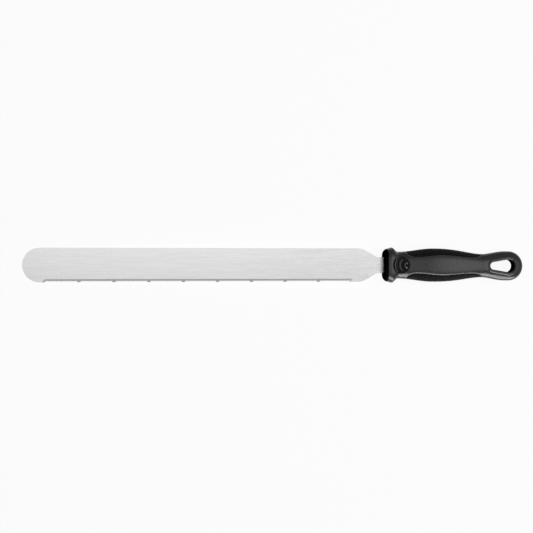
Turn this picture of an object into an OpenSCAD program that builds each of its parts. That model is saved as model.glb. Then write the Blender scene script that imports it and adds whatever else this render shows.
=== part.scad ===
// Serrated palette knife: one long sheet of steel with a rounded tip, a toothed
// lower edge and a hidden tang, in a handle moulded round that tang.
// The knife is drawn along X with the front of the collar at X = 0, the tip at -X
// and the spine towards +Y, and is then laid down as it rests on a table, on its
// tip and on the underside of its collar.

/* [Blade] */
// Length of the blade from the collar to the tip
blade_l = 352; // [280:1:400]
// Width of the blade from the spine to the points of the toothed edge
blade_w = 33; // [28:0.5:34]
// Thickness of the blade, which is ground on both faces
blade_t = 1.1; // [0.8:0.1:1.4]
// Width of the neck and of the tang behind it
neck_w = 15.6; // [12:0.2:17]
// Length from the collar to where the shoulders meet the full width
shoulder_l = 27; // [26:0.5:34]
// Slope of the shoulders to the length of the blade, in degrees
shoulder_slope = 32; // [28:1:36]
// Radius that joins the shoulders to the spine and to the edge
shoulder_r = 20; // [10:1:20]

/* [Toothed edge] */
// Plain length between the tip and the first tooth
tip_plain = 21.4; // [18:0.2:40]
// Plain length between the collar and the last tooth
heel_plain = 34.6; // [34.6:0.2:60]
// Number of toothed sections
sections = 9; // [6:1:11]
// Width of the blunt point between two sections
point_w = 3.3; // [2:0.1:5]
// Height of a blunt point above the roots of the teeth
point_h = 1.75; // [1.4:0.05:2]
// Distance from one tooth to the next, before it is fitted to the section
tooth_pitch = 1.5; // [1.4:0.1:3]
// Height of a tooth above its root
tooth_h = 1.3; // [0.8:0.05:1.35]
// Width of the ground bevel, measured from the points
bevel_w = 3; // [2.2:0.1:5]
// Thickness left at the toothed edge
edge_t = 0.4; // [0.2:0.05:0.6]

/* [Tang] */
// Length of the tang inside the handle
tang_l = 90; // [68:1:92]
// Thickness of the tang, which is left as thick as the sheet was
tang_t = 1.3; // [1.3:0.1:1.8]
// Diameter of the holes that the plastic flows through
lock_hole_d = 6; // [3:0.5:8]
// Distance from the collar to the first of these holes
lock_hole_x = 32; // [26:1:38]
// Distance between the two holes
lock_hole_gap = 42; // [20:1:42]
// Radius of the corners at the tang's end
tang_corner_r = 4; // [2:0.5:5]

/* [Collar] */
// Height of the handle at the crest of the collar
collar_h = 35.2; // [34:0.1:40]
// Thickness of the handle at the collar
collar_t = 22; // [20:0.5:26]
// Distance from the front face to the crest
collar_l = 7.1; // [6.2:0.1:9]
// Distance from the front face to where the faces begin to fall to the thumb rest
crest_l = 4.9; // [4.4:0.1:6]
// Slope of the collar's sides from the front corner up to the crest, in degrees
collar_taper = 18; // [5:1:22]
// Radius of the rounded front corner
collar_r = 3; // [2:0.2:4]

/* [Grip] */
// Overall length of the handle
handle_l = 144; // [138:1:158]
// Height of the waist behind the collar
waist_h = 26.7; // [24:0.1:30]
// Thickness of that waist
waist_t = 16.8; // [15:0.1:19]
// Distance from the front face to that waist
waist_x = 13.9; // [12:0.1:17]
// Height of the belly
belly_h = 33.6; // [31:0.1:36]
// Thickness of the belly
belly_t = 19.6; // [18:0.1:21]
// Distance from the front face to the widest place of the belly
belly_x = 50; // [44:1:56]
// Height of the waist in front of the hanging loop
back_waist_h = 23.6; // [21:0.1:26]
// Thickness of that waist
back_waist_t = 16; // [14.4:0.1:18]
// Distance from that waist to the middle of the loop's round end
loop_reach = 27.5; // [25:0.5:30]

/* [Grip zones] */
// Where the sunken grip zones begin, from the front face
grip_start = 22; // [20:0.5:26]
// Length of a grip zone
grip_l = 78; // [70:1:79]
// Depth of the step into a grip zone
grip_depth = 0.6; // [0.3:0.05:0.9]
// Width of the slope of that step
step_w = 0.9; // [0.5:0.1:1.4]
// Width of the smooth band between the zones, near the front
band_front_w = 14.6; // [12:0.1:17]
// Width of the band at the belly
band_mid_w = 18.4; // [15:0.1:20]
// Width of the band near the back
band_back_w = 14.4; // [12:0.1:16]
// Length over which the band opens out to the outline at either end
band_turn = 10; // [7:0.5:11]

/* [Thumb rest] */
// Distance from the front face to the deepest place of the thumb hollow
thumb_x = 18.6; // [18:0.1:20]
// Width of the thumb hollow across the handle
thumb_w = 15.4; // [12:0.1:17]
// Depth of the hollow
thumb_depth = 1.4; // [0.8:0.1:1.8]
// Number of curved ribs in the hollow
thumb_ribs = 3; // [1:1:3]
// Distance from one rib to the next
rib_gap = 5; // [4:0.1:5.4]
// Width of a rib at its foot
rib_w = 2.2; // [1.4:0.1:2.4]
// Height of a rib above the hollow
rib_h = 0.7; // [0.3:0.05:0.8]
// How far the ribs reach to either side of the middle
rib_reach = 6.3; // [4:0.1:7]

/* [Hanging loop] */
// Radius of the loop's outer end
loop_r = 14.8; // [14:0.1:16]
// Thickness of the loop
loop_t = 14.4; // [12:0.1:15]
// How far the middle of the loop hangs below the middle of the collar
loop_drop = 0.75; // [0:0.05:1.5]
// Radius of the hole's wide end
hole_big_r = 6.4; // [5:0.1:7]
// Radius of the hole's narrow end
hole_small_r = 3.7; // [3:0.1:4.5]
// Distance between the centres of the two ends
hole_l = 15.9; // [13:0.1:17]
// Distance from the middle of the loop's end forward to the middle of the wide end
hole_set = 1; // [0:0.1:1.5]
// Radius of the hole's rounded rim
rim_r = 2.4; // [1:0.1:2.8]

/* [Hidden] */

// Positions along the handle that follow from the sizes above
loop_x = handle_l - loop_r;
back_waist_x = loop_x - loop_reach;
band_wide_x = belly_x + 8;
grip_end = grip_start + grip_l;
thumb_end = thumb_x - 1;

// Sections of the handle are rounded boxes: the higher the power, the squarer
collar_power = 3.2;
grip_power = 2.6;
// How far the swell of the outline lies off (over 1) or hastens (under 1)
belly_lean = 0.98;
tail_lean = 1.35;
loop_lean = 0.9;
// Length over which the loop's sides already run level before its round end
loop_level = 4;
// Share of the half height that the band takes where there is no grip zone
band_open = 0.9;
// Intervals from the middle of a face to the edge of the band, and on to the side
band_n = 4;
side_n = 7;
quarter_n = band_n + 1 + side_n;

// Rest pose: the line that touches the tip and the round of the collar
reach = blade_l + collar_r;
drop = collar_t / 2 - collar_r - blade_t / 2;
rest_tilt = atan(drop / reach) + asin(collar_r / norm([reach, drop]));
overall_l = (blade_l + handle_l) * cos(rest_tilt);

steel = [0.80, 0.80, 0.80];
black_plastic = [0.07, 0.07, 0.075];
// Radius of the first rib as a share of the distance between ribs
first_rib_share = 0.44;
// Distance from the deepest place of the thumb hollow back to the first rib
first_rib_back = 1.1;
// Length by which a cutter runs past the face it opens
over = 1;
// Depth of the rolled rim's highest point below the loop's face
rim_sink = 0.3;
// Flats on a whole circle: long outlines, then small rounds
round_fn = 96;
small_fn = 24;

// Curves

function share(x, x0, x1) = max(0, min(1, (x - x0) / (x1 - x0)));
function ease(t) = t * t * (3 - 2 * t);

// Smooth change from a at x0 to b at x1; lean over 1 puts it off, under 1 hastens it
function swell(x, x0, x1, a, b, lean = 1) = a + (b - a) * ease(pow(share(x, x0, x1), lean));

// What a round corner of radius r takes away at distance x from its face
function corner(x, r) = x >= r ? 0 : r - sqrt(r * r - (r - x) * (r - x));

// Evenly spaced stations from a up to, but without, b
function run(a, b, n) = [for (i = [0 : n - 1]) a + (b - a) * i / n];

// Points of an arc about the middle m, from angle a to angle b
function arc(m, r, a, b, n) =
    [for (i = [0 : n]) let (p = a + (b - a) * i / n) m + r * [cos(p), sin(p)]];

// Blade

// Upper edge of the blade from where it is full wide down to the neck
function shoulder_points() =
    let (
        top = blade_w / 2,
        bend = arc([-shoulder_l, top - shoulder_r], shoulder_r, 90, 90 - shoulder_slope, 8),
        low = bend[len(bend) - 1],
        slant_l = (low.y - neck_w / 2) / tan(shoulder_slope)
    )
    concat(bend, [[low.x + slant_l, neck_w / 2]]);

// Outline of the whole sheet without its teeth
module sheet_outline() {
    shoulder = shoulder_points();
    n = len(shoulder);
    tip_x = blade_w / 2 - blade_l;
    translate([tip_x, 0]) circle(d = blade_w, $fn = round_fn);
    polygon(concat(
        [[tip_x, blade_w / 2]],
        shoulder,
        [[over, neck_w / 2], [over, -neck_w / 2]],
        [for (i = [n - 1 : -1 : 0]) [shoulder[i].x, -shoulder[i].y]],
        [[tip_x, -blade_w / 2]]
    ));
}

// What the grinding wheel takes out of one section of the edge, leaving its teeth
module section_gap(length) {
    count = max(1, round(length / tooth_pitch));
    pitch = length / count;
    root = point_h - blade_w / 2;
    side = pitch / 2 * (1 - point_h / tooth_h);
    polygon(concat(
        [[side, -blade_w / 2 - over], [side, -blade_w / 2]],
        [for (i = [0 : count - 1]) each [
            if (i > 0) [i * pitch, root - tooth_h],
            [(i + 0.5) * pitch, root]
        ]],
        [[length - side, -blade_w / 2], [length - side, -blade_w / 2 - over]]
    ));
}

module toothed_outline() {
    toothed_l = blade_l - tip_plain - heel_plain;
    step = (toothed_l + point_w) / sections;
    difference() {
        sheet_outline();
        for (i = [0 : sections - 1])
            translate([tip_plain - blade_l + i * step, 0]) section_gap(step - point_w);
    }
}

// Wedge that grinds the near face of the edge down to its thickness
module bevel_wedge() {
    slope = (blade_t - edge_t) / bevel_w;
    low = -blade_w / 2;
    translate([tip_plain - blade_l - point_w, 0, blade_t / 2])
        rotate([90, 0, 90])
            linear_extrude(height = blade_l - tip_plain - heel_plain + 2 * point_w)
                polygon([
                    [low - over, -slope * (bevel_w + over)],
                    [low + bevel_w, 0],
                    [low + bevel_w, over],
                    [low - over, over]
                ]);
}

// The tang as the handle is moulded round it, with its holes
module tang() {
    translate([0, 0, -tang_t / 2])
        linear_extrude(height = tang_t)
            difference() {
                union() {
                    translate([0, -neck_w / 2]) square([tang_l - tang_corner_r, neck_w]);
                    translate([0, tang_corner_r - neck_w / 2])
                        square([tang_l, neck_w - 2 * tang_corner_r]);
                    for (side = [-1, 1])
                        translate([tang_l - tang_corner_r, side * (neck_w / 2 - tang_corner_r)])
                            circle(r = tang_corner_r, $fn = round_fn);
                }
                for (i = [0, 1])
                    translate([lock_hole_x + i * lock_hole_gap, 0])
                        circle(d = lock_hole_d, $fn = round_fn);
            }
}

module blade_sheet() {
    difference() {
        translate([0, 0, -blade_t / 2]) linear_extrude(height = blade_t) toothed_outline();
        bevel_wedge();
        translate([0, -blade_w, -blade_t]) cube([2 * over, 2 * blade_w, 2 * blade_t]);
    }
    tang();
}

// Handle

// Middle of the handle's height
function middle(x) = -loop_drop * ease(share(x, belly_x, loop_x));

function half_height(x) =
    x < collar_l ? collar_h / 2 - (collar_l - x) * tan(collar_taper) - corner(x, collar_r)
    : x < waist_x ? swell(x, collar_l, waist_x, collar_h, waist_h) / 2
    : x < belly_x ? swell(x, waist_x, belly_x, waist_h, belly_h, belly_lean) / 2
    : x < back_waist_x ? swell(x, belly_x, back_waist_x, belly_h, back_waist_h, tail_lean) / 2
    : x < loop_x ? swell(x, back_waist_x, loop_x - loop_level, back_waist_h / 2, loop_r, loop_lean)
    : loop_r * sqrt(max(0, 1 - pow((x - loop_x) / loop_r, 2)));

function half_thick(x) =
    x < crest_l ? collar_t / 2 - corner(x, collar_r)
    : x < thumb_end ? swell(x, crest_l, thumb_end, collar_t, waist_t) / 2
    : x < belly_x ? swell(x, thumb_end, belly_x, waist_t, belly_t) / 2
    : x < back_waist_x ? swell(x, belly_x, back_waist_x, belly_t, back_waist_t) / 2
    : swell(x, back_waist_x, loop_x - hole_l, back_waist_t, loop_t) / 2;

function power(x) = swell(x, collar_l, waist_x, collar_power, grip_power);

// Quarter of an ellipse that leaves the outline at 1 and meets the band at 0
function turn(t) = 1 - sqrt(1 - pow(1 - t, 2));

// Half width of the smooth band on each face
function band_half(x) =
    let (open = band_open * half_height(x))
    x <= grip_start || x >= grip_end ? open
    : x < grip_start + band_turn ?
        let (flat = band_front_w / 2)
        flat + (open - flat) * turn(share(x, grip_start, grip_start + band_turn))
    : x < band_wide_x ?
        swell(x, grip_start + band_turn, band_wide_x, band_front_w, band_mid_w) / 2
    : x < grip_end - band_turn ?
        swell(x, band_wide_x, grip_end - band_turn, band_mid_w, band_back_w) / 2
    :
        let (flat = band_back_w / 2)
        flat + (open - flat) * turn(share(grip_end - x, 0, band_turn));

// How deep the grip zones lie at a station
function sunk(x) = grip_depth * share(x, grip_start, grip_start + step_w)
    * share(grip_end - x, 0, step_w);

// One quarter of a section from the middle of the face round to the side
function quarter(x) =
    let (
        a = half_height(x),
        b = half_thick(x),
        n = power(x),
        q = pow(share(x, loop_x, loop_x + loop_r), 2),
        w = min(band_half(x), band_open * a),
        foot = w + min(step_w, (a - w) / 2),
        start = asin(pow(foot / a, n / 2)),
        ys = concat(
            run(0, w, band_n),
            [w],
            [for (i = [0 : side_n]) a * pow(sin(start + (90 - start) * i / side_n), 2 / n)]
        )
    )
    [for (i = [0 : quarter_n])
        let (
            y = ys[i],
            s = min(1, y / a),
            z = b * pow(max(0, 1 - pow(q + (1 - q) * s * s, n / 2)), 1 / n),
            out = [pow(s, n - 1) / a, pow(z / b, n - 1) / b],
            depth = i > band_n ? sunk(x) : 0
        )
        [y, z] - depth * out / norm(out)];

// A whole section as a ring of points
function ring(x) =
    let (p = quarter(x), m = middle(x), n = quarter_n)
    concat(
        [for (i = [0 : n]) [x, m + p[i].x, p[i].y]],
        [for (i = [n - 1 : -1 : 0]) [x, m + p[i].x, -p[i].y]],
        [for (i = [1 : n]) [x, m - p[i].x, -p[i].y]],
        [for (i = [n - 1 : -1 : 1]) [x, m - p[i].x, p[i].y]]
    );

// Distances from the start of a grip zone, closest together where the band leaves the side
band_run = concat(
    [for (i = [0 : 3]) step_w * pow(i / 4, 2)],
    [for (i = [0 : 5]) step_w + (band_turn - step_w) * (1 - cos(15 * i))]
);

// Stations along the handle, closer together where its form changes faster
stations = concat(
    [for (i = [0 : 4]) collar_r * (1 - cos(18 * i))],
    run(collar_r, crest_l, 2),
    run(crest_l, collar_l, 2),
    run(collar_l, waist_x, 8),
    run(waist_x, grip_start, 4),
    [for (d = band_run) grip_start + d],
    run(grip_start + band_turn, grip_end - band_turn, 14),
    [grip_end - band_turn],
    [for (i = [len(band_run) - 1 : -1 : 1]) grip_end - band_run[i]],
    run(grip_end, loop_x, 9),
    [for (i = [0 : 9]) loop_x + loop_r * sin(9.2 * i)]
);

module handle_form() {
    rings = [for (x = stations) ring(x)];
    count = len(rings);
    m = 4 * quarter_n;
    points = concat([for (r = rings) each r], [[loop_x + loop_r, middle(loop_x), 0]]);
    apex = count * m;
    faces = concat(
        [[for (j = [m - 1 : -1 : 0]) j]],
        [for (i = [0 : count - 2], j = [0 : m - 1])
            let (a = i * m + j, b = i * m + (j + 1) % m)
            each [[a, b, a + m], [b, b + m, a + m]]],
        [for (j = [0 : m - 1]) [(count - 1) * m + j, (count - 1) * m + (j + 1) % m, apex]]
    );
    polyhedron(points = points, faces = faces, convexity = 8);
}

// Hole through the loop, with its rim rolled over on both faces
module hanging_hole() {
    lean = asin((hole_big_r - hole_small_r) / hole_l);
    face_z = loop_t / 2 - rim_sink;
    side_l = hole_l * cos(lean);
    // The rolled rim beside a wall at distance r from the axis
    function rim(r, back) = concat(
        [[back, face_z - rim_r]],
        arc([r + rim_r, face_z - rim_r], rim_r, 180, 90, 6),
        [[r + rim_r, face_z + 2 * over], [back, face_z + 2 * over]]
    );
    translate([loop_x - hole_set, -loop_drop, 0]) {
        for (end = [[0, hole_big_r], [-hole_l, hole_small_r]])
            translate([end[0], 0, 0]) {
                cylinder(r = end[1], h = loop_t + 2 * over, center = true, $fn = round_fn);
                for (face = [0, 1])
                    mirror([0, 0, face])
                        rotate_extrude($fn = round_fn) polygon(rim(end[1], 0));
            }
        for (side = [0, 1])
            mirror([0, side, 0])
                translate([-hole_l, 0, 0])
                    rotate([0, 0, lean])
                        translate([0, hole_small_r, 0]) {
                            translate([0, -2 * hole_small_r, -loop_t / 2 - over])
                                cube([side_l, 2 * hole_small_r, loop_t + 2 * over]);
                            for (face = [0, 1])
                                mirror([0, 0, face])
                                    rotate([90, 0, 90])
                                        linear_extrude(height = side_l)
                                            polygon(rim(0, -hole_small_r));
                        }
    }
}

// Radius of the circle that is w wide and h high as a segment
function segment_r(w, h) = (w * w / 4 + h * h) / (2 * h);

// Hollow for the thumb, with ribs left standing in it as arcs about one centre
module thumb_rest() {
    r = segment_r(thumb_w, thumb_depth);
    tool_r = segment_r(rib_w, rib_h);
    floor_z = half_thick(thumb_x) - thumb_depth;
    first_r = first_rib_share * rib_gap;
    centre_x = thumb_x + first_r + first_rib_back;
    difference() {
        translate([thumb_x, 0, floor_z + r]) sphere(r = r, $fn = round_fn);
        for (i = [0 : thumb_ribs - 1]) {
            rib_r = first_r + i * rib_gap;
            spread = asin(min(1, rib_reach / rib_r));
            foot_z = floor_z + r - sqrt(r * r - pow(centre_x - rib_r - thumb_x, 2));
            translate([centre_x, 0, foot_z + rib_h - tool_r])
                rotate([0, 0, 180 - spread])
                    rotate_extrude(angle = 2 * spread, $fn = round_fn)
                        translate([rib_r, 0]) circle(r = tool_r, $fn = small_fn);
        }
    }
}

module handle_moulding() {
    difference() {
        handle_form();
        tang();
        hanging_hole();
        for (face = [0, 1]) mirror([0, 0, face]) thumb_rest();
    }
}

// Lays the knife down on its tip and its collar, centred over its shadow
module lay_down() {
    translate([-overall_l / 2, 0, 0])
        rotate([0, -rest_tilt, 0])
            translate([blade_l, 0, blade_t / 2])
                children();
}

module blade() { color(steel) lay_down() blade_sheet(); }
module handle() { color(black_plastic) lay_down() handle_moulding(); }

blade();
handle();
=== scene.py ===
# %% [markdown]
# # A serrated palette knife
#
# The knife is two pieces: a long sheet of stainless steel, brushed along its length and ground
# into teeth on one edge, and a handle of black plastic moulded round its tang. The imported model
# gives their true size and place. This script gives them the finish that a camera sees: the fine
# edges, the knurl that the fingers feel, the satin of the steel and the grain of the moulding.

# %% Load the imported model
import math
import time

import bmesh
import bpy
import numpy as np
from mathutils import Matrix, Vector


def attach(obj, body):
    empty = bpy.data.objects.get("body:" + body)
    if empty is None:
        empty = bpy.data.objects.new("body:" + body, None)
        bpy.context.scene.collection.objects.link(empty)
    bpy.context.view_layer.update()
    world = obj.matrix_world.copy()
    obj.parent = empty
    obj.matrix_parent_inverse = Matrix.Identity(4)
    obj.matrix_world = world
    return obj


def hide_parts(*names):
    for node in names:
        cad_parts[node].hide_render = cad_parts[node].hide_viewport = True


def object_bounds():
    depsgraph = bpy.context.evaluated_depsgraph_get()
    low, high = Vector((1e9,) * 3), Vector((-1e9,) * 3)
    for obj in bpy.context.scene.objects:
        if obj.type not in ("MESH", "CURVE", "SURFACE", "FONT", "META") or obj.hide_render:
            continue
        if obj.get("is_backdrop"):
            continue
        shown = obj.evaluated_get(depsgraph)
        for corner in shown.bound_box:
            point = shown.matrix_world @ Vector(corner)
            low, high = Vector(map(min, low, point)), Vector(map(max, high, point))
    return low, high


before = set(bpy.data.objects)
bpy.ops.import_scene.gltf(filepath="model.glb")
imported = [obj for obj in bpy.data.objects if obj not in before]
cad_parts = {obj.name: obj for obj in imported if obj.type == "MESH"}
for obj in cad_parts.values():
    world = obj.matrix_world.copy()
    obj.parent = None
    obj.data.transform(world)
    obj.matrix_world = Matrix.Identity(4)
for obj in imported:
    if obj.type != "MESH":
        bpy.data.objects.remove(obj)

started = time.time()
scene = bpy.context.scene
scene.view_settings.view_transform = "Standard"
for spare in ("Cube", "Light", "Camera"):
    if spare in bpy.data.objects:
        bpy.data.objects.remove(bpy.data.objects[spare])
cad_low, cad_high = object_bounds()
print("The model is", [round((b - a) * 1000, 1) for a, b in zip(cad_low, cad_high)], "mm")

# %% [markdown]
# ## The knife's own frame
#
# A knife is easiest to shape along its own length: X runs back from the front of the collar, Y
# goes up to the spine and Z comes out of the flat of the blade, all in millimetres. On the table
# it lies on its tip and on the round of its collar, so it leans by a degree or two. One matrix
# carries every point from the knife's frame to its place at rest, and no object is ever moved.

# %% From the knife to the table
BLADE_L, BLADE_W, BLADE_T = 352.0, 33.0, 1.1
HANDLE_L, COLLAR_T, COLLAR_R = 144.0, 22.0, 3.0

reach = BLADE_L + COLLAR_R
drop = COLLAR_T / 2 - COLLAR_R - BLADE_T / 2
tilt = math.atan2(drop, reach) + math.asin(COLLAR_R / math.hypot(reach, drop))
half_length = (BLADE_L + HANDLE_L) * math.cos(tilt) / 2
at_rest = (
    Matrix.Scale(0.001, 4)
    @ Matrix.Translation((-half_length, 0, 0))
    @ Matrix.Rotation(-tilt, 4, "Y")
    @ Matrix.Translation((BLADE_L, 0, BLADE_T / 2))
)
along = (at_rest.to_3x3() @ Vector((1, 0, 0))).normalized()
outward = (at_rest.to_3x3() @ Vector((0, 0, 1))).normalized()
print("The knife leans by", round(math.degrees(tilt), 2), "degrees")

# %% [markdown]
# ## The camera
#
# The picture is taken from above with a long lens, so that the far end of the knife is hardly
# smaller than the near end. The camera stands a little towards the tip, which shows the front of
# the collar. Its axes are built one by one, because a camera that looks almost straight down has
# no clear way up of its own.

# %% Set up the camera
def turned(place, back):
    """A matrix that stands at the place with its Z pointing back and its X along the knife."""
    side = Vector((0, 1, 0)).cross(back).normalized()
    return Matrix.Translation(place) @ Matrix((side, back.cross(side), back)).transposed().to_4x4()


lens = bpy.data.cameras.new("camera")
lens.lens, lens.sensor_width = 72, 36
lens.clip_start, lens.clip_end = 0.01, 50
camera = bpy.data.objects.new("camera", lens)
scene.collection.objects.link(camera)
scene.camera = camera

CAMERA_LEAN, CAMERA_FAR, AIM = math.radians(8.27), 1.0445, (-117.9, -1.4, 0)
back = (outward * math.cos(CAMERA_LEAN) - along * math.sin(CAMERA_LEAN)).normalized()
camera.matrix_world = turned(at_rest @ Vector(AIM) + back * CAMERA_FAR, back)
print("The camera stands at", [round(v, 3) for v in camera.matrix_world.translation])

# %% [markdown]
# ## Wires and trees
#
# A node tree reads best as a formula. `Wire` holds the output of a node, and adding or
# multiplying two wires puts in the Math node that does it. Every other node comes from one call,
# `Tree.node`, which takes its type, its settings and what goes into its sockets. The same two
# classes serve the geometry trees and the materials.

# %% Write nodes as formulas
class Wire:
    """The output of a node."""

    def __init__(self, tree, socket):
        self.tree, self.socket = tree, socket

    def maths(self, operation, other=None, flip=False):
        """The wire and the other value through one Math node, the other one first if flipped."""
        pair = (other, self) if flip else (self, other)
        inputs = {i: v for i, v in enumerate(pair) if v is not None}
        return self.tree.node("ShaderNodeMath", {"operation": operation}, inputs)

    def __add__(self, other):
        return self.maths("ADD", other)

    def __sub__(self, other):
        return self.maths("SUBTRACT", other)

    def __rsub__(self, other):
        return self.maths("SUBTRACT", other, flip=True)

    def __mul__(self, other):
        return self.maths("MULTIPLY", other)

    def __truediv__(self, other):
        return self.maths("DIVIDE", other)

    __radd__, __rmul__ = __add__, __mul__


class Tree:
    """A node tree that is written as calls and formulas."""

    def __init__(self, nodes):
        self.tree = nodes

    def node(self, kind, settings=None, inputs=None, output=0):
        """Adds a node, sets it up, then gives its sockets their values or wires."""
        made = self.tree.nodes.new(kind)
        for name, value in (settings or {}).items():
            setattr(made, name, value)
        for key, value in (inputs or {}).items():
            if isinstance(value, (Wire, list)):
                for wire in value if isinstance(value, list) else [value]:
                    self.tree.links.new(wire.socket, made.inputs[key])
            else:
                made.inputs[key].default_value = value
        return Wire(self, made.outputs[output])

    def vector(self, x=0.0, y=0.0, z=0.0):
        return self.node("ShaderNodeCombineXYZ", inputs={"X": x, "Y": y, "Z": z})

    def parts(self, vector):
        made = self.tree.nodes.new("ShaderNodeSeparateXYZ")
        self.tree.links.new(vector.socket, made.inputs[0])
        return [Wire(self, socket) for socket in made.outputs]


# %% [markdown]
# ## What every finish needs
#
# Both finishes grow from the same few nodes: a noise, a grey with a hint of blue, and a bump so
# low that only the light shows it. Each becomes a helper that takes just what differs. The
# patterns could follow a UV map, but coordinates of the object itself never stretch and have no
# seams. A Mapping node turns them by the lean of the knife, so that they follow the blade.

# %% Helpers for the finishes
def material(name):
    """A new material with no nodes, and its tree."""
    made = bpy.data.materials.new(name)
    made.use_nodes = True
    made.node_tree.nodes.clear()
    return made, Tree(made.node_tree)


def finish_material(tree, surface):
    end = tree.tree.nodes.new("ShaderNodeOutputMaterial")
    tree.tree.links.new(surface.socket, end.inputs["Surface"])


def along_the_knife(tree, scale=(1, 1, 1)):
    """Object coordinates in the knife's own directions, in metres times the scale."""
    place = tree.node("ShaderNodeTexCoord", output=3)
    level = tree.node("ShaderNodeMapping", inputs={"Vector": place, "Rotation": (0, tilt, 0)})
    return tree.node("ShaderNodeMapping", inputs={"Vector": level, "Scale": scale})


def noise(tree, place, scale, roughness):
    return tree.node("ShaderNodeTexNoise", inputs={
        "Vector": place, "Scale": scale, "Detail": 2.0, "Roughness": roughness})


def grey(tree, tone, blue=1.0):
    """The colour of a tone, with a little more blue in it or less."""
    return tree.node("ShaderNodeCombineColor", inputs={
        "Red": tone, "Green": tone, "Blue": tone * blue})


def bump(tree, height, depth):
    return tree.node("ShaderNodeBump", inputs={
        "Height": height, "Strength": 1.0, "Distance": depth})


# %% [markdown]
# ## The finish of the blade
#
# Satin steel is ground with a belt that runs along the blade, so its scratches are long and
# parallel. A noise that is stretched along the blade, finer than the eye can part, makes them,
# and a coarser one makes the faint streaks that a camera sees. As a bump the scratches scatter
# the light across the blade but hardly along it, which is what gives brushed steel its look. They
# go into the roughness and the colour too. The colour is also painted a shade darker from the
# spine towards the toothed edge: painted shade that stands in for light falling off across it.

# %% Brush the steel
SCRATCHES, STREAKS, SCRATCH_DEPTH = (60, 11000, 11000), (45, 900, 900), 0.00002
# The second number here is painted shade: how much darker the steel's colour is at the toothed
# edge.
STEEL_TONE, PAINTED_SHADE_AT_EDGE, SCRATCH_TONE, STREAK_TONE = 0.70, 0.075, 0.08, 0.16
STEEL_ROUGHNESS, SCRATCH_ROUGHNESS = 0.20, 0.12

steel, tree = material("brushed_steel")
fine = noise(tree, along_the_knife(tree, SCRATCHES), 1.0, 0.6)
coarse = noise(tree, along_the_knife(tree, STREAKS), 1.0, 0.7)
y = tree.parts(along_the_knife(tree))[1]
# Painted shade: a ramp from the spine to the toothed edge darkens the steel's colour there.
painted_shade_ramp = (0.5 - y / (BLADE_W / 1000)).maths("MINIMUM", 1.0).maths("MAXIMUM", 0.0)
tone = (STEEL_TONE - painted_shade_ramp * PAINTED_SHADE_AT_EDGE
        + (fine - 0.5) * SCRATCH_TONE + (coarse - 0.5) * STREAK_TONE)
finish_material(tree, tree.node("ShaderNodeBsdfPrincipled", inputs={
    "Base Color": grey(tree, tone, 1.002), "Metallic": 1.0,
    "Roughness": STEEL_ROUGHNESS + fine * SCRATCH_ROUGHNESS,
    "Normal": bump(tree, fine, SCRATCH_DEPTH)}))
print("The steel has", len(steel.node_tree.nodes), "nodes")

# %% [markdown]
# ## The finish of the handle
#
# The plastic is black polypropylene out of a finely sparked mould: a soft sheen that is never
# quite even, and a grain that shows only close up. Where the mould was left rough it swallows
# the light: on the front of the collar, on the ground of the knurl and of the thumb rest, and on
# the wall of the hole. The pyramids of the knurl, which a hand polishes, shine more than their
# ground. So one function makes the plastic, with how black, how shiny and how rough it is. On the
# handle the rough and the smooth one are mixed by an attribute that its mesh carries, called dull.

# %% Grain the plastic
GRAIN_SCALE, MOTTLE_SCALE, UNEVEN_BLACK, UNEVEN_SHEEN = 1100.0, 420.0, 0.9, 0.3


def black_plastic(tree, black, shine, roughness, grain_depth):
    grain = noise(tree, along_the_knife(tree), GRAIN_SCALE, 0.7)
    mottle = noise(tree, along_the_knife(tree), MOTTLE_SCALE, 0.6)
    dark = black * (1 - UNEVEN_BLACK / 2 + mottle * UNEVEN_BLACK)
    return tree.node("ShaderNodeBsdfPrincipled", inputs={
        "Base Color": grey(tree, dark, 1.03), "Specular IOR Level": shine,
        "Roughness": roughness + (mottle - 0.5) * UNEVEN_SHEEN,
        "Normal": bump(tree, grain, grain_depth)})


satin, tree = material("satin_black_plastic")
dull = tree.node("ShaderNodeAttribute", {"attribute_name": "dull"}, output=2)
finish_material(tree, tree.node("ShaderNodeMixShader", inputs={
    0: dull,
    1: black_plastic(tree, black=0.007, shine=0.5, roughness=0.25, grain_depth=0.00007),
    2: black_plastic(tree, black=0.005, shine=0.0, roughness=0.8, grain_depth=0.00003)}))
print("The satin plastic has", len(satin.node_tree.nodes), "nodes")

polished, tree = material("polished_black_plastic")
finish_material(tree, black_plastic(
    tree, black=0.005, shine=0.25, roughness=0.30, grain_depth=0.00001))
print("The polished plastic has", len(polished.node_tree.nodes), "nodes")

# %% [markdown]
# ## Meshes and geometry trees
#
# Four helpers do what every piece needs: one makes an object from points and faces, one starts a
# geometry tree with named inputs, one runs such a tree on an object, and one keeps what the
# modifiers make as a plain mesh. The inputs are set by their sockets' identifiers before the
# object is first evaluated. Each piece is finished in millimetres in the knife's frame and then
# laid down.

# %% Helpers for the pieces
def mesh_object(name, points, faces):
    """An object with its own mesh, linked to the scene."""
    mesh = bpy.data.meshes.new(name)
    mesh.from_pydata(points, [], faces)
    made = bpy.data.objects.new(name, mesh)
    scene.collection.objects.link(made)
    return made


def geometry_tree(name, inputs):
    """A tree, the wires of its inputs by name, and the values that go into them."""
    group = bpy.data.node_groups.new(name, "GeometryNodeTree")
    group.interface.new_socket("Mesh", in_out="INPUT", socket_type="NodeSocketGeometry")
    group.interface.new_socket("Mesh", in_out="OUTPUT", socket_type="NodeSocketGeometry")
    values = {}
    for title, (kind, value) in inputs.items():
        socket = group.interface.new_socket(title, in_out="INPUT", socket_type="NodeSocket" + kind)
        values[socket.identifier] = value
    tree, entry = Tree(group), group.nodes.new("NodeGroupInput")
    return tree, {s.name: Wire(tree, s) for s in entry.outputs if s.name}, values


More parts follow.
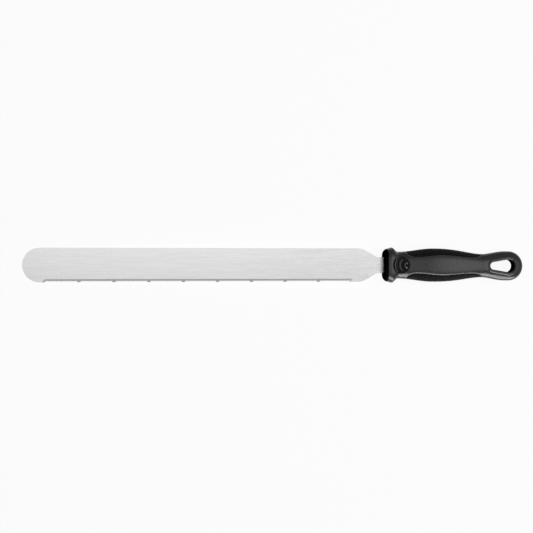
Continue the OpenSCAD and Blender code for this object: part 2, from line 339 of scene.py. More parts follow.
def run_tree(obj, tree, result, values, finish):
    """Runs the tree on the object and keeps what comes out as the object's own mesh."""
    real = tree.node("GeometryNodeRealizeInstances", inputs={"Geometry": result})
    dressed = tree.node("GeometryNodeSetMaterial", inputs={"Geometry": real, "Material": finish})
    leave = tree.tree.nodes.new("NodeGroupOutput")
    tree.tree.links.new(dressed.socket, leave.inputs[0])
    modifier = obj.modifiers.new(tree.tree.name, "NODES")
    modifier.node_group = tree.tree
    for identifier, value in values.items():
        modifier[identifier] = value
    as_plain_mesh(obj)


def as_plain_mesh(obj):
    """Puts what the modifiers make in the place of the object's mesh, and drops them."""
    graph = bpy.context.evaluated_depsgraph_get()
    mesh = bpy.data.meshes.new_from_object(obj.evaluated_get(graph))
    obj.modifiers.clear()
    obj.data = mesh


# %% [markdown]
# ## The blade: the sheet
#
# The real blade is stamped from a sheet 1.1 mm thick: a straight spine, a full-round tip, two
# shoulders that draw in to the neck, and a tang that goes on behind it inside the handle. It
# could be drawn as a curve, but arcs and straight lines are quick to write as points, and an
# outline pushed out to its thickness is just what the press makes.

# %% Draw the sheet
NECK_W, SHOULDER_L, SHOULDER_SLOPE, SHOULDER_R = 15.6, 27.0, math.radians(32), 20.0
TANG_L, TANG_CORNER_R = 90.0, 4.0


def arc(x, y, radius, start, end, steps):
    turns = [start + (end - start) * i / steps for i in range(steps + 1)]
    return [(x + radius * math.cos(t), y + radius * math.sin(t)) for t in turns]


half_w, quarter_turn = BLADE_W / 2, math.pi / 2
bend = arc(-SHOULDER_L, half_w - SHOULDER_R, SHOULDER_R,
           quarter_turn, quarter_turn - SHOULDER_SLOPE, 12)
slant = (bend[-1][1] - NECK_W / 2) / math.tan(SHOULDER_SLOPE)
corner = arc(TANG_L - TANG_CORNER_R, NECK_W / 2 - TANG_CORNER_R, TANG_CORNER_R, quarter_turn, 0, 8)
upper = bend + [(bend[-1][0] + slant, NECK_W / 2)] + corner
tip = arc(half_w - BLADE_L, 0, half_w, quarter_turn, 3 * quarter_turn, 70)
outline = tip + [(x, -y) for x, y in upper] + upper[::-1]

blade = mesh_object("blade_sheet", [(x, y, -BLADE_T / 2) for x, y in outline],
                    [tuple(range(len(outline)))])
print("The outline of the sheet has", len(outline), "points")

# %% [markdown]
# ## The blade: the teeth
#
# A profiled wheel grinds the teeth, twenty notches at a time, and leaves a blunt point where one
# pass ends and the next begins. Drawn into the outline they would be 180 notches of points; what
# repeats is a job for Geometry Nodes instead. The tree takes the flat outline and gives it its
# thickness first, by pushing a copy up and turning the one below over.

# %% Measure the teeth and start their tree
SECTIONS, TIP_PLAIN, HEEL_PLAIN = 9, 21.4, 34.6
POINT_W, POINT_H, TOOTH_H = 3.3, 1.75, 1.3
LOCK_HOLE_R, LOCK_HOLE_X, LOCK_HOLE_GAP = 3.0, 32.0, 42.0

section_pitch = (BLADE_L - TIP_PLAIN - HEEL_PLAIN + POINT_W) / SECTIONS
notch_count = round((section_pitch - POINT_W) / 1.5)
tooth_pitch = (section_pitch - POINT_W) / notch_count
first_notch = (TIP_PLAIN - BLADE_L + tooth_pitch / 2, POINT_H - half_w, 0.0)

tree, given, values = geometry_tree("toothed edge", {
    "Thickness": ("Float", BLADE_T),
    "Sections": ("Int", SECTIONS),
    "Section Pitch": ("Float", section_pitch),
    "Notches": ("Int", notch_count),
    "Tooth Pitch": ("Float", tooth_pitch),
    "Notch Slope": ("Float", tooth_pitch / 2 / TOOTH_H),
    "First Notch": ("Vector", first_notch),
    "Hole Radius": ("Float", LOCK_HOLE_R),
    "First Hole": ("Vector", (LOCK_HOLE_X, 0.0, 0.0)),
    "Hole Gap": ("Float", LOCK_HOLE_GAP),
})
pushed = tree.node("GeometryNodeExtrudeMesh", inputs={
    "Mesh": given["Mesh"], "Offset Scale": given["Thickness"], "Individual": False})
below = tree.node("GeometryNodeFlipFaces", inputs={"Mesh": given["Mesh"]})
plate = tree.node("GeometryNodeMergeByDistance", inputs={
    "Geometry": tree.node("GeometryNodeJoinGeometry", inputs={"Geometry": [pushed, below]})})
print("A pass has", notch_count, "notches,", round(tooth_pitch, 3), "mm from one to the next")

# %% [markdown]
# ## The blade: the cutters
#
# One notch is a straight groove with two sloping sides. A three-sided cone without taper is just
# the prism that leaves such a groove: it is stretched to the notch's depth and slope and turned
# so that its sharp side points into the blade. The tang has two holes that the plastic flows
# through, and a cylinder drills them.

# %% Shape the cutters
DEPTH, CONE_REACH = 4.0, 1.5
prism = tree.node("GeometryNodeMeshCone", {"fill_type": "NGON"}, {
    "Vertices": 3, "Radius Top": 1.0, "Radius Bottom": 1.0, "Depth": DEPTH})
deep = tree.node("GeometryNodeTransform", inputs={
    "Geometry": prism,
    "Scale": tree.vector(
        DEPTH / CONE_REACH, given["Notch Slope"] * (DEPTH / math.sin(math.pi / 3)), 1.0),
    "Translation": (-DEPTH / CONE_REACH, 0, -DEPTH / 2)})
notch = tree.node("GeometryNodeTransform", inputs={
    "Geometry": deep, "Rotation": (0, 0, quarter_turn)})
drill = tree.node("GeometryNodeMeshCylinder", inputs={
    "Vertices": 40, "Radius": given["Hole Radius"], "Depth": DEPTH})
print("The cutters reach", DEPTH, "mm through a sheet of", BLADE_T, "mm")

# %% [markdown]
# ## The blade: cutting the teeth
#
# The prism is copied along one pass, and that row is copied for every pass. Neighbouring notches
# run into each other, so the tips of the teeth come out by themselves, a little short of the
# blunt points. Even and odd notches are taken out in two cuts, so that no cutter meets another
# one in the same cut. A third cut drills the holes.

# %% Cut the teeth
def copies(shape, count, start, step):
    """A row of copies of a shape, laid out along the blade."""
    line = tree.node("GeometryNodeMeshLine", inputs={
        "Count": count, "Start Location": start, "Offset": tree.vector(x=step)})
    return tree.node("GeometryNodeInstanceOnPoints", inputs={"Points": line, "Instance": shape})


def cut_out(solid, cutters):
    real = tree.node("GeometryNodeRealizeInstances", inputs={"Geometry": cutters})
    return tree.node("GeometryNodeMeshBoolean", {"operation": "DIFFERENCE", "solver": "EXACT"},
                     {"Mesh 1": solid, "Mesh 2": real})


cut = plate
for odd in (0, 1):
    shift = tree.vector(x=given["Tooth Pitch"] * odd)
    start = tree.node("ShaderNodeVectorMath", {"operation": "ADD"}, {
        0: given["First Notch"], 1: shift})
    count = ((given["Notches"] + (1 - odd)) / 2).maths("FLOOR")
    one_section = copies(notch, count, (0, 0, 0), given["Tooth Pitch"] * 2)
    cut = cut_out(cut, copies(one_section, given["Sections"], start, given["Section Pitch"]))
cut = cut_out(cut, copies(drill, 2, given["First Hole"], given["Hole Gap"]))
run_tree(blade, tree, cut, values, steel)
print("Cut", SECTIONS, "sections of", notch_count, "notches:", len(blade.data.polygons), "faces")

# %% [markdown]
# ## The blade: the grind and the fine edges
#
# The wheel also thins the toothed edge from one side, by a narrow flat slope. Here the top face
# is parted along the line where the grind begins, and the points below that line sink in
# proportion to their distance from it, with a short run-out at either end. No stamped edge is
# knife-sharp after brushing, so a narrow Bevel goes on every edge. It is what catches the light.

# %% Grind the edge and break the corners
BEVEL_W, EDGE_T, BROKEN_EDGE = 3.0, 0.4, 0.09

grind_y = BEVEL_W - half_w
first_x, last_x = TIP_PLAIN - BLADE_L, -HEEL_PLAIN
slope = (BLADE_T - EDGE_T) / BEVEL_W

form = bmesh.new()
form.from_mesh(blade.data)
for x in (first_x - POINT_W, first_x, last_x, last_x + POINT_W):
    everything = form.verts[:] + form.edges[:] + form.faces[:]
    bmesh.ops.bisect_plane(form, geom=everything, plane_co=(x, 0, 0), plane_no=(1, 0, 0))
strip = [f for f in form.faces
         if first_x - POINT_W < f.calc_center_median().x < last_x + POINT_W]
edges = list({e for f in strip for e in f.edges})
verts = list({v for f in strip for v in f.verts})
bmesh.ops.bisect_plane(
    form, geom=verts + edges + strip, plane_co=(0, grind_y, 0), plane_no=(0, 1, 0))
sunk = 0
for v in form.verts:
    if v.co.z > 0 and v.co.y < grind_y - 1e-4:
        share = min((v.co.x - first_x) / POINT_W + 1, (last_x - v.co.x) / POINT_W + 1, 1)
        if share > 0:
            v.co.z -= slope * (grind_y - v.co.y) * share
            sunk += 1
form.to_mesh(blade.data)
form.free()

bevel = blade.modifiers.new("broken edges", "BEVEL")
bevel.width, bevel.segments = BROKEN_EDGE, 2
bevel.limit_method, bevel.angle_limit = "ANGLE", math.radians(40)
as_plain_mesh(blade)
blade.data.transform(at_rest)
print("The grind sank", sunk, "points; the blade has", len(blade.data.polygons), "faces")

# %% [markdown]
# ## The handle: its outline
#
# The handle swells and narrows along its length: a crest on the collar, a waist, a belly for the
# palm, a second waist and the round loop. Each section is a rounded box, that is a superellipse,
# with a height, a thickness and a power that says how square it is. All three are smooth
# functions of the distance from the front. They are worked out once on a fine ruler and softened
# a little there, so that no crease is left between two stretches.

# %% Measure the handle along its length
COLLAR_H, COLLAR_L, CREST_L, COLLAR_TAPER = 35.2, 7.1, 4.9, math.radians(18)
WAIST_H, WAIST_T, WAIST_X, WAIST_END = 26.7, 16.8, 13.9, 17.6
BELLY_H, BELLY_T, BELLY_X = 33.6, 19.6, 50.0
BACK_WAIST_H, BACK_WAIST_T, LOOP_REACH = 23.6, 16.0, 27.5
LOOP_R, LOOP_T, LOOP_DROP, LOOP_LEVEL = 14.8, 14.4, 0.75, 4.0
HOLE_BIG_R, HOLE_SMALL_R, HOLE_L, HOLE_SET = 6.4, 3.7, 15.9, 1.0
SQUARE_COLLAR, SQUARE_GRIP, SOFT_HEIGHT, SOFT_THICK = 3.2, 2.6, 0.3, 0.6
BELLY_LEAN, BACK_LEAN, LOOP_LEAN = 0.98, 1.35, 0.9

loop_x = HANDLE_L - LOOP_R
back_waist_x = loop_x - LOOP_REACH


def ease(t):
    return t * t * (3 - 2 * t)


def swell(x, x0, x1, a, b, lean=1.0):
    """Runs smoothly from a at x0 to b at x1; a lean above one makes it start late."""
    return a + (b - a) * ease(np.clip((x - x0) / (x1 - x0), 0, 1) ** lean)


def soften(values, width):
    reach = int(3 * width / RULER_STEP)
    weights = np.exp(-0.5 * (np.arange(-reach, reach + 1) * RULER_STEP / width) ** 2)
    return np.convolve(np.pad(values, reach, "edge"), weights / weights.sum(), "valid")


RULER_STEP = 0.05
ruler = np.arange(-4, HANDLE_L + 4, RULER_STEP)
half_height = soften(np.select(
    [ruler < COLLAR_L, ruler < WAIST_X, ruler < BELLY_X, ruler < back_waist_x],
    [COLLAR_H / 2 - (COLLAR_L - ruler) * math.tan(COLLAR_TAPER),
     swell(ruler, COLLAR_L, WAIST_X, COLLAR_H, WAIST_H) / 2,
     swell(ruler, WAIST_X, BELLY_X, WAIST_H, BELLY_H, BELLY_LEAN) / 2,
     swell(ruler, BELLY_X, back_waist_x, BELLY_H, BACK_WAIST_H, BACK_LEAN) / 2],
    swell(ruler, back_waist_x, loop_x - LOOP_LEVEL, BACK_WAIST_H / 2, LOOP_R, LOOP_LEAN)),
    SOFT_HEIGHT)
half_thick = soften(np.select(
    [ruler < CREST_L, ruler < WAIST_END, ruler < BELLY_X, ruler < back_waist_x],
    [0 * ruler + COLLAR_T / 2,
     swell(ruler, CREST_L, WAIST_END, COLLAR_T, WAIST_T) / 2,
     swell(ruler, WAIST_END, BELLY_X, WAIST_T, BELLY_T) / 2,
     swell(ruler, BELLY_X, back_waist_x, BELLY_T, BACK_WAIST_T) / 2],
    swell(ruler, back_waist_x, loop_x - HOLE_L, BACK_WAIST_T, LOOP_T) / 2), SOFT_THICK)
power = swell(ruler, COLLAR_L, WAIST_X, SQUARE_COLLAR, SQUARE_GRIP)
middle = -LOOP_DROP * ease(np.clip((ruler - BELLY_X) / (loop_x - BELLY_X), 0, 1))
print("The handle is", round(2 * half_height.max(), 1), "mm high at the crest and",
      round(2 * half_height[ruler > WAIST_X].max(), 1), "mm at the belly")

# %% [markdown]
# ## The handle: the grip zones
#
# Above and below, two knurled zones are sunk into the handle and leave a smooth band between
# them on each face. The edge of a zone runs in one line: straight across near the waist, round
# a quarter of an ellipse, and along the band. The line is written as a list of places, because a
# distance from a list of short straight pieces is easy to work out.

# %% Draw the edge of the grip zones
GRIP_START, GRIP_L = 22.0, 78.0
BAND_FRONT_W, BAND_MID_W, BAND_BACK_W, BAND_TURN = 14.6, 18.4, 14.4, 10.0
BEYOND_OUTLINE = 40.0

grip_end = GRIP_START + GRIP_L
band_wide_x = BELLY_X + 8


def at(table, x):
    """Reads a table that was worked out on the ruler."""
    return np.interp(x, ruler, table)


def band_half(x):
    """Half width of the smooth band; at either end it opens out to the outline."""
    flat = np.where(x < band_wide_x,
                    swell(x, GRIP_START + BAND_TURN, band_wide_x, BAND_FRONT_W, BAND_MID_W),
                    swell(x, band_wide_x, grip_end - BAND_TURN, BAND_MID_W, BAND_BACK_W)) / 2
    near = np.clip(np.minimum(x - GRIP_START, grip_end - x) / BAND_TURN, 0, 1)
    return flat + (0.9 * at(half_height, x) - flat) * (1 - np.sqrt(1 - (1 - near) ** 2))


turns = np.linspace(0, 1, 40)
bend_x = BAND_TURN * (1 - np.cos(turns * quarter_turn))
line_x = np.concatenate([[GRIP_START], GRIP_START + bend_x,
                         np.linspace(GRIP_START + BAND_TURN, grip_end - BAND_TURN, 80)[1:-1],
                         grip_end - bend_x[::-1], [grip_end]])
line_y = np.concatenate([[BEYOND_OUTLINE], band_half(line_x[1:-1]), [BEYOND_OUTLINE]])
print("The band is", round(2 * float(band_half(np.array(60.0))), 1), "mm wide at the belly")

# %% [markdown]
# ## The handle: a map of the zones
#
# The mould's step down into a zone has the same width everywhere, so each place has to know how
# far it is from the edge. To work that out for every point of the handle would be slow. It is
# done once, on a flat map with marks a tenth of a millimetre apart, and read off between them.
# The sign says which side is inside.

# %% Map the grip zones
MAP_STEP = 0.1

map_x = np.arange(GRIP_START - 4, grip_end + 4, MAP_STEP)
map_y = np.arange(0, 22, MAP_STEP)
spots = np.stack(np.meshgrid(map_x, map_y, indexing="ij"), -1)
nearest = np.full(spots.shape[:2], 1e9)
for i in range(len(line_x) - 1):
    a, b = np.array([line_x[i], line_y[i]]), np.array([line_x[i + 1], line_y[i + 1]])
    t = np.clip(((spots - a) @ (b - a)) / ((b - a) @ (b - a)), 0, 1)
    nearest = np.minimum(nearest, np.linalg.norm(spots - a - t[..., None] * (b - a), axis=-1))
in_zone = ((spots[..., 0] > GRIP_START) & (spots[..., 0] < grip_end)
           & (spots[..., 1] > band_half(spots[..., 0])))
zone_map = np.where(in_zone, nearest, -nearest)


def zone_distance(x, y):
    """How far a place lies inside a grip zone, in millimetres, and negative outside."""
    u = np.clip((x - map_x[0]) / MAP_STEP, 0, len(map_x) - 1.001)
    v = np.clip(np.abs(y) / MAP_STEP, 0, len(map_y) - 1.001)
    i, j = u.astype(int), v.astype(int)
    u, v = u - i, v - j
    low = zone_map[i, j] * (1 - v) + zone_map[i, j + 1] * v
    high = zone_map[i + 1, j] * (1 - v) + zone_map[i + 1, j + 1] * v
    return low * (1 - u) + high * u


print("The map has", zone_map.size, "marks; its deepest one is", round(zone_map.max(), 1), "mm in")

# %% [markdown]
# ## The handle: one moulding as one formula
#
# A moulding has no sharp inner corners: every face runs into the next by a fillet. Cutting
# meshes with each other gives hard seams, so the handle is written as a distance instead: a
# function that says how far a place is from the surface, below zero in the plastic. Two such
# distances join or cut each other with a round corner of any radius by a short formula, and
# these two formulas are all the modelling tools that the handle needs.

# %% Join and cut distances
def round_cut(a, b, radius):
    """What lies in both, with its edge rounded."""
    u, v = np.maximum(a + radius, 0), np.maximum(b + radius, 0)
    return np.minimum(np.maximum(a, b), -radius) + np.hypot(u, v)


def soft_join(a, b, radius):
    """What lies in either, with its corner filled."""
    h = np.clip(0.5 + 0.5 * (b - a) / radius, 0, 1)
    return b + (a - b) * h - radius * h * (1 - h)


print("At a corner of two flats a cut of radius 1 takes off", round(float(round_cut(0, 0, 1)), 2),
      "mm and a join of radius 1 fills in", round(float(-soft_join(0, 0, 1)), 2), "mm")

# %% [markdown]
# ## The handle: its three forms
#
# The body is the loft through all sections. How far a section has to swell to reach a place,
# over how fast it swells, is nearly the true distance. The hanging hole is a drop, two circles
# and their tangents, for which an exact formula is well known. The thumb's hollow has a floor like
# a shallow bowl.

# %% Write the body, the hole and the hollow's floor
THUMB_X, THUMB_R, THUMB_FLOOR, THUMB_DEEP_X, THUMB_RISE = 15.9, 9.05, 6.4, 15.0, math.radians(10)


def body_distance(x, y, z):
    """Distance from the lofted body: how far a section swells past a place, over its slope."""
    a, b, n = at(half_height, x), at(half_thick, x), at(power, x)
    rise, swing = at(np.gradient(half_height, ruler), x), at(np.gradient(half_thick, ruler), x)
    past = np.maximum(x - loop_x, 0)
    u, v = np.hypot(past, y - at(middle, x)) / a, np.abs(z) / b
    gauge = np.maximum((u ** n + v ** n) ** (1 / n), 0.25)
    across, up = (u / gauge) ** (n - 1) / a, (v / gauge) ** (n - 1) / b
    steepness = np.sqrt(across ** 2 + up ** 2 + (across * u * rise + up * v * swing) ** 2)
    return (gauge - 1) / np.maximum(steepness, 0.02)


def hole_distance(x, y):
    """Distance from the wall of the drop-shaped hole, seen from above."""
    px, py = loop_x - HOLE_SET - x, np.abs(y + LOOP_DROP)
    b = (HOLE_BIG_R - HOLE_SMALL_R) / HOLE_L
    a = math.sqrt(1 - b * b)
    k = px * a - py * b
    side = py * a + px * b - HOLE_BIG_R
    return np.where(k < 0, np.hypot(px, py) - HOLE_BIG_R,
                    np.where(k > a * HOLE_L, np.hypot(px - HOLE_L, py) - HOLE_SMALL_R, side))


def thumb_floor(x, y):
    """Height of the hollow's floor, a shallow bowl that rises evenly to its rim."""
    return THUMB_FLOOR + math.tan(THUMB_RISE) * np.sqrt((x - THUMB_DEEP_X) ** 2 + y ** 2 + 4)


print("The hollow is", round(float(at(half_thick, THUMB_DEEP_X) - thumb_floor(THUMB_DEEP_X, 0)), 1),
      "mm deep")

# %% [markdown]
# ## The handle: all of it together
#
# The order is that of the mould maker: the body, the sunk zones, the rounded front, the hollow,
# its three curved ribs, the bead round the hole, and last the hole itself, whose rim then cuts
# through everything evenly. The body and the floor take their own small fillets on the way.

# %% Write the handle as a distance
GRIP_DEPTH, STEP_W = 0.6, 0.9
THUMB_RIBS, RIB_GAP, RIB_W, RIB_H, RIB_REACH = 3, 5.0, 2.4, 1.0, 6.3
RIBS_X, FIRST_RIB_R, RIB_FILLET = 21.9, 2.2, 0.3
HOLLOW_FILLET, HOLLOW_RIM_R = 1.0, 0.35
BEAD_R, BEAD_OFF, BEAD_SINK, BEAD_FILLET, RIM_R = 0.8, 2.4, 0.5, 0.15, 1.6

rib_r = (RIB_W * RIB_W / 4 + RIB_H * RIB_H) / (2 * RIB_H)


def handle_distance(x, y, z):
    """Distance from the surface of the whole moulding."""
    y_mid = y - at(middle, x)
    d = body_distance(x, y, z)
    d = d + GRIP_DEPTH * ease(np.clip(zone_distance(x, y_mid) / STEP_W, 0, 1))
    d = round_cut(d, -x, COLLAR_R)
    high = np.abs(z)
    above_floor = (thumb_floor(x, y) - high) * math.cos(THUMB_RISE)
    hollow = round_cut(above_floor, np.hypot(x - THUMB_X, y) - THUMB_R, HOLLOW_FILLET)
    d = round_cut(d, -hollow, HOLLOW_RIM_R)
    turn = np.arctan2(y, RIBS_X - x)
    for i in range(THUMB_RIBS):
        radius = FIRST_RIB_R + i * RIB_GAP
        spread = math.asin(min(1, RIB_REACH / radius))
        foot = float(thumb_floor(RIBS_X - radius, 0))
        held = np.clip(turn, -spread, spread)
        rib = np.sqrt((x - RIBS_X + radius * np.cos(held)) ** 2 + (y - radius * np.sin(held)) ** 2
                      + (high - foot - RIB_H + rib_r) ** 2) - rib_r
        d = soft_join(d, rib, RIB_FILLET)
    hole = hole_distance(x, y)
    bead = np.hypot(hole - BEAD_OFF, body_distance(x, y, z) + BEAD_SINK) - BEAD_R
    d = soft_join(d, bead, BEAD_FILLET)
    return round_cut(d, -hole, RIM_R)


print("Deep in the belly the distance is", round(float(handle_distance(
    np.array([52.0]), np.array([0.0]), np.array([4.0]))[0]), 2), "mm")

# %% [markdown]
# ## The handle: a skin on the formula
#
# The formula is sampled on a grid. Every cell that the surface passes through gets one point,
# and every grid edge that crosses it gets one face between the four cells round it. Then each
# point slides along the slope of the distance until it lies on the surface itself, which takes
# the steps of the grid away. The result is an even net of four-sided faces that shades smoothly
# over every fillet.

# %% Write the skinning
SLIDES, PROBE, LONGEST_SLIDE = 8, 0.02, 0.3


def skin(distance, axes):
    """Points and four-sided faces on the surface where the distance is nought."""
    value = distance(*np.meshgrid(*axes, indexing="ij"))
    inside = value < 0
    corners = [inside[i:i - 1 or None, j:j - 1 or None, k:k - 1 or None]
               for i in (0, 1) for j in (0, 1) for k in (0, 1)]
    crossed = np.logical_or.reduce(corners) & ~np.logical_and.reduce(corners)
    cells = np.argwhere(crossed)
    number = np.full(crossed.shape, -1)
    number[tuple(cells.T)] = np.arange(len(cells))

    middles = [(a[1:] + a[:-1]) / 2 for a in axes]
    points = np.stack([m[cells[:, i]] for i, m in enumerate(middles)], -1)
    for _ in range(SLIDES):
        slope = np.stack([distance(*(points + shift).T) - distance(*(points - shift).T)
                          for shift in np.eye(3) * PROBE], -1) / (2 * PROBE)
        steep = np.maximum((slope ** 2).sum(-1), 0.25)
        move = -(distance(*points.T) / steep)[:, None] * slope
        length = np.maximum(np.linalg.norm(move, axis=1), 1e-9)
        points += move * np.minimum(1, LONGEST_SLIDE / length)[:, None]

    faces = []
    for axis in range(3):
        one, two = [a for a in range(3) if a != axis]
        ends = [[slice(1, -1)] * 3, [slice(1, -1)] * 3]
        ends[0][axis], ends[1][axis] = slice(0, -1), slice(1, None)
        a, b = inside[tuple(ends[0])], inside[tuple(ends[1])]
        spots = np.argwhere(a != b)
        spots[:, one] += 1
        spots[:, two] += 1
        leaving = a[a != b]
        ring = []
        for back_one, back_two in ((1, 1), (0, 1), (0, 0), (1, 0)):
            cell = spots.copy()
            cell[:, one] -= back_one
            cell[:, two] -= back_two
            ring.append(number[tuple(cell.T)])
        quads = np.stack(ring, -1)
        outward_first = leaving if axis != 1 else ~leaving
        faces.append(np.where(outward_first[:, None], quads, quads[:, ::-1]))
    return points, np.concatenate(faces)


def ball_distance(x, y, z):
    return np.sqrt(x * x + y * y + z * z) - 1


ball, ball_faces = skin(ball_distance, [np.arange(-1.6, 1.7, 0.4)] * 3)
print("On a ball of radius 1 the skin has", len(ball_faces), "faces and is off by at most",
      round(float(np.abs(np.linalg.norm(ball, axis=1) - 1).max()), 5))

# %% [markdown]
# ## The handle: the moulding
#
# The smallest forms are the ribs of the thumb rest, so the marks of the grid stand closer
# together there. A grid that is so fine everywhere would give many more faces for nothing, and a
# piece should stay under 200,000 triangles.

# %% Skin the handle
def marks(low, high, step, fine_low=0.0, fine_high=0.0, fine_step=1.0):
    """The marks of a ruler, set closer between two places."""
    before, after = np.arange(low, fine_low, step), np.arange(fine_high, high + step, step)
    return np.concatenate([before, np.arange(fine_low, fine_high, fine_step), after])


points, faces = skin(handle_distance, [
    marks(-1.3, HANDLE_L + 1, 0.5, 5.2, 30, 0.26),
    marks(-19.1, 19, 0.5, -9, 9, 0.3),
    marks(-12.1, 12, 0.45)])
handle = mesh_object("handle_moulding", points.tolist(), faces.tolist())
handle.data.shade_smooth()
handle.data.materials.append(satin)
print("The handle has", len(points), "points and", len(faces), "faces; the farthest point is",
      round(float(np.abs(handle_distance(*points.T)).max()), 4), "mm off the formula")

# %% [markdown]
# ## The handle: where it is dull
#
# Each rough part of the mould is a simple rule on the place of a point: in front of the collar's
# edge, well inside a grip zone, on the floor of the thumb rest, or on the wall of the hole. A rule
# fades from nought to one over a fraction of a millimetre, so that its border is smooth.

# %% Mark the dull parts
def fade(depth, width):
    return np.clip(depth / width, 0, 1)


def write_on(obj, name, values):
    """Writes one number on every point of the object's mesh."""
    obj.data.attributes.new(name, "FLOAT", "POINT").data.foreach_set("value", values)


x, y, z = points.T
high = np.abs(z)
depth_in_zone = zone_distance(x, y - at(middle, x))
on_front = fade(COLLAR_R - 0.1 - x, 0.4)
in_zone = fade(depth_in_zone - 0.65, 0.3)
on_thumb_floor = (0.85 * fade(THUMB_R - 0.2 - np.hypot(x - THUMB_X, y), 0.4)
                  * fade(thumb_floor(x, y) + 0.3 - high, 0.2) * (high > 4))
in_hole = fade(1.0 - hole_distance(x, y), 0.5) * fade(LOOP_T / 2 - 1.3 - high, 0.6)
dullness = np.maximum.reduce([on_front, in_zone, on_thumb_floor, in_hole])
write_on(handle, "dull", dullness)
print("Dull are", round(100 * float((dullness > 0.5).mean())), "% of the handle's points")

# %% [markdown]
# ## The handle: the knurl
#
# The grip zones are knurled: rows of low pyramids, each row shifted by half a pyramid, so that
# the grooves between them run in two slanting directions. A bump could only paint them, and they
# show on the outline. They repeat over a surface, so Geometry Nodes lay them on. The tree begins
# with its sizes and one pyramid, a cone with four sides whose foot is sunk a little.

# %% Start the knurl with one pyramid
PYRAMID_W, PYRAMID_H, PYRAMID_TOP_R, PYRAMID_SUNK = 2.0, 0.5, 0.16, 0.1
FOCUS_Y, FAR_OUT = 5.6, 30

tree, given, values = geometry_tree("knurl", {
    "Start": ("Float", GRIP_START),
    "Pyramid Width": ("Float", PYRAMID_W),
    "Pyramid Height": ("Float", PYRAMID_H),
    "Columns": ("Int", int(GRIP_L / PYRAMID_W)),
    "Rows": ("Int", 31),
    "Focus": ("Float", FOCUS_Y),
    "Margin": ("Float", 1.5),
})
pyramid = tree.node("GeometryNodeMeshCone", {"fill_type": "NGON"}, {
    "Vertices": 4, "Radius Top": PYRAMID_TOP_R, "Radius Bottom": given["Pyramid Width"] * 0.49,
    "Depth": given["Pyramid Height"] + PYRAMID_SUNK})
pyramid = tree.node("GeometryNodeTransform", inputs={
    "Geometry": pyramid, "Translation": (0, 0, -PYRAMID_SUNK)})
print("The knurl has room for", int(GRIP_L / PYRAMID_W), "pyramids along a zone")

# %% [markdown]
# ## The handle: where the pyramids land
#
# A flat grid would crowd the pyramids where the handle turns away from it. So the points of each
# zone are bent round it like a sleeve, and every point looks inwards, at a line inside the
# handle. It lands where its ray meets the surface, as evenly as a knurled mould is cut.

# %% Bend a sleeve of points round each zone
sleeves = []
for side in (1, -1):
    count = given["Columns"] * given["Rows"]
    cloud = tree.node("GeometryNodeMeshLine", inputs={
        "Count": count, "Start Location": (0, 0, 0), "Offset": (0, 0, 0)})
    index = tree.node("GeometryNodeInputIndex")
    row = (index / given["Columns"]).maths("FLOOR")
    column = index - row * given["Columns"]
    shift = row.maths("MODULO", 2) * 0.5
    x = given["Start"] + (column + shift + 0.5) * given["Pyramid Width"]
    turn = (row + 0.5) / given["Rows"] * math.pi - quarter_turn
    arm = tree.vector(0, turn.maths("COSINE") * (FAR_OUT * side), turn.maths("SINE") * FAR_OUT)
    focus = tree.vector(x, given["Focus"] * side, 0)
    start = tree.node("ShaderNodeVectorMath", {"operation": "ADD"}, {0: focus, 1: arm})
    inward = tree.node("ShaderNodeVectorMath", {"operation": "SCALE"}, {0: arm, "Scale": -1.0})
    sleeves.append(tree.node("GeometryNodeSetPosition", inputs={"Geometry": tree.node(
        "GeometryNodeStoreNamedAttribute", {"data_type": "FLOAT_VECTOR"},
        {"Geometry": cloud, "Name": "look", "Value": inward}), "Position": start}))
cloud = tree.node("GeometryNodeJoinGeometry", inputs={"Geometry": sleeves})
print("Points look in from", len(sleeves), "sleeves,", FAR_OUT, "mm out")

# %% [markdown]
# ## The handle: setting the pyramids
#
# The ray brings back three things: the place, the way the surface faces there, and how far inside
# a zone it is, which the mesh carries as an attribute. Points on the band or on the step are left
# out by that number. The others get their pyramid, square to the surface and with one corner
# along the knife.

# %% Knurl the grip zones
look = tree.node("GeometryNodeInputNamedAttribute", {"data_type": "FLOAT_VECTOR"}, {"Name": "look"})
depth = tree.node("GeometryNodeInputNamedAttribute", {"data_type": "FLOAT"}, {"Name": "grip"})
ray = tree.node("GeometryNodeRaycast", inputs={
    "Target Geometry": given["Mesh"], "Attribute": depth,
    "Ray Direction": look, "Ray Length": 40.0})
found = {s.name: Wire(tree, s) for s in ray.socket.node.outputs}
keep = found["Attribute"].maths("GREATER_THAN", given["Margin"])
facing = tree.node("FunctionNodeAxesToRotation", {"primary_axis": "Z", "secondary_axis": "X"},
                   {0: found["Hit Normal"], 1: (1.0, 0.0, 0.0)})
landed = tree.node("GeometryNodeStoreNamedAttribute", {"data_type": "QUATERNION"},
                   {"Geometry": cloud, "Name": "facing", "Value": facing})
landed = tree.node("GeometryNodeSetPosition", inputs={
    "Geometry": tree.node("GeometryNodeSeparateGeometry", {"domain": "POINT"},
                          {"Geometry": landed, "Selection": keep}),
    "Position": found["Hit Position"]})
stored = tree.node("GeometryNodeInputNamedAttribute", {"data_type": "QUATERNION"},
                   {"Name": "facing"})
studs = tree.node("GeometryNodeInstanceOnPoints", inputs={
    "Points": landed, "Instance": pyramid, "Rotation": stored})

knurl = mesh_object("grip_knurl", points.tolist(), faces.tolist())
write_on(knurl, "grip", depth_in_zone)
run_tree(knurl, tree, studs, values, polished)
print("The knurl has", len(knurl.data.polygons) // 6, "pyramids")
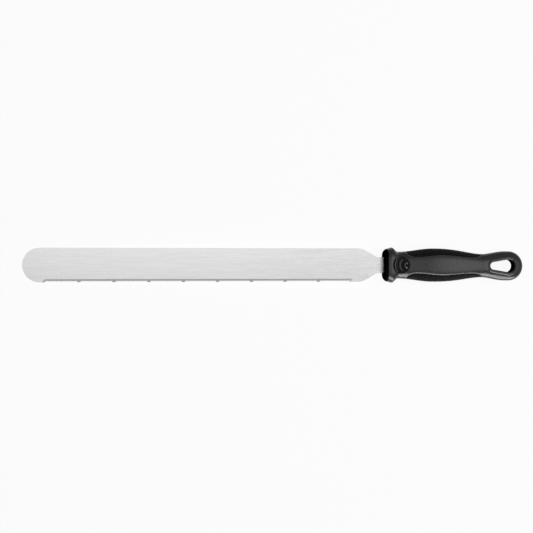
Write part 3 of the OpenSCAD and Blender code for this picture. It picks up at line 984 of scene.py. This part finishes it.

# %% [markdown]
# ## Laying the handle down
#
# Both pieces of the handle go to their place at rest and ride on the object's one body, as the
# blade does, and the imported solids under them are hidden but stay in the scene.

# %% Lay the pieces down
for piece in (handle, knurl):
    piece.data.transform(at_rest)
for piece, solid, finish in [(blade, "blade", "blade_steel"), (handle, "handle", "handle_plastic"),
                             (knurl, "handle", "handle_plastic")]:
    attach(piece, "root")
    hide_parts(solid)
print("Three pieces lie at rest and ride on the knife's one body")

# %% [markdown]
# ## The floor and the room
#
# The knife lies on a large pale floor in a pale room. Both have a light of their own, but for the
# camera and for mirror rays alone. So the floor is white where nothing shades it, its shadow
# stays soft, and the steel has something pale to mirror from every side, while the knife is lit
# no brighter for it.

# %% Lay the floor and set up the room
def seen_or_mirrored(tree):
    """One for camera, glossy and transmission rays, and zero for the rays that light things."""
    path = tree.tree.nodes.new("ShaderNodeLightPath")
    rays = [Wire(tree, path.outputs[name])
            for name in ("Is Camera Ray", "Is Glossy Ray", "Is Transmission Ray")]
    return (rays[0] + rays[1] + rays[2]).maths("MINIMUM", 1.0)


FLOOR_HALF, FLOOR_SHADE, FLOOR_GLOW = 15, 0.2, 0.92
ROOM, WALLS = 0.05, 0.5

corners = [(-1, -1), (1, -1), (1, 1), (-1, 1)]
floor = mesh_object(
    "floor", [(x * FLOOR_HALF, y * FLOOR_HALF, 0) for x, y in corners], [(0, 1, 2, 3)])
floor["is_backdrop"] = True
paper, tree = material("pale_floor")
finish_material(tree, tree.node("ShaderNodeBsdfPrincipled", inputs={
    "Base Color": (FLOOR_SHADE, FLOOR_SHADE, FLOOR_SHADE, 1), "Roughness": 1.0,
    "Specular IOR Level": 0.0, "Emission Strength": 1.0,
    "Emission Color": grey(tree, seen_or_mirrored(tree) * FLOOR_GLOW)}))
floor.data.materials.append(paper)

world = bpy.data.worlds.new("studio")
scene.world = world
world.use_nodes = True
world.node_tree.nodes.clear()
tree = Tree(world.node_tree)
sky = tree.node("ShaderNodeBackground", inputs={
    "Color": (1, 1, 1, 1), "Strength": ROOM + seen_or_mirrored(tree) * (WALLS - ROOM)})
end = world.node_tree.nodes.new("ShaderNodeOutputWorld")
world.node_tree.links.new(sky.socket, end.inputs["Surface"])
print("The floor is", 2 * FLOOR_HALF, "m wide and glows with", FLOOR_GLOW)

# %% [markdown]
# ## The light
#
# Three soft panels light the knife. The one overhead is what the flat of the blade mirrors, and
# the one beyond the handle does the same for the handle's face. The low one in front reaches only
# the flanks that look towards it, while the flanks behind mirror the dimmer room, and that
# difference shows the form of a black object. In a studio a black card would keep this panel off
# the blade, which would mirror it; here the panel is linked to the handle alone.

# %% Hang the panels
def panel(name, place, target, long, wide, brightness):
    """A panel of light that faces its target; a mirror would show it with this brightness."""
    lamp = bpy.data.lights.new(name, "AREA")
    lamp.shape, lamp.size, lamp.size_y = "RECTANGLE", long, wide
    lamp.energy = brightness * math.pi * long * wide
    made = bpy.data.objects.new(name, lamp)
    scene.collection.objects.link(made)
    made.matrix_world = turned(place, (Vector(place) - Vector(target)).normalized())
    return made


panel("overhead", (-0.12, 0.0, 1.45), (-0.12, 0, 0), long=1.0, wide=0.8, brightness=0.67)
panel("beyond", (0.97, 0.0, 1.3), (0.15, 0, 0), long=0.86, wide=0.9, brightness=1.75)
low_front = panel("low_front", (0.5, -1.15, 0.42), (0.1, 0, 0.01),
                  long=1.4, wide=0.85, brightness=7.5)
lit_by_it = bpy.data.collections.new("lit from the low front")
for piece in (handle, knurl):
    lit_by_it.objects.link(piece)
low_front.light_linking.receiver_collection = lit_by_it

# %% [markdown]
# ## The last look
# Both boxes are measured, and how far the finished object reaches past the imported model's box
# is printed. The finished object must stay inside the imported model's box.

# %% Compare the boxes and finish
low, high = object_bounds()
outside = max([a - b for a, b in zip(cad_low, low)] + [b - a for a, b in zip(cad_high, high)])
print("Outside the model's box by at most", round(1000 * outside, 3), "mm")
print("Made in", round(time.time() - started, 1), "s")
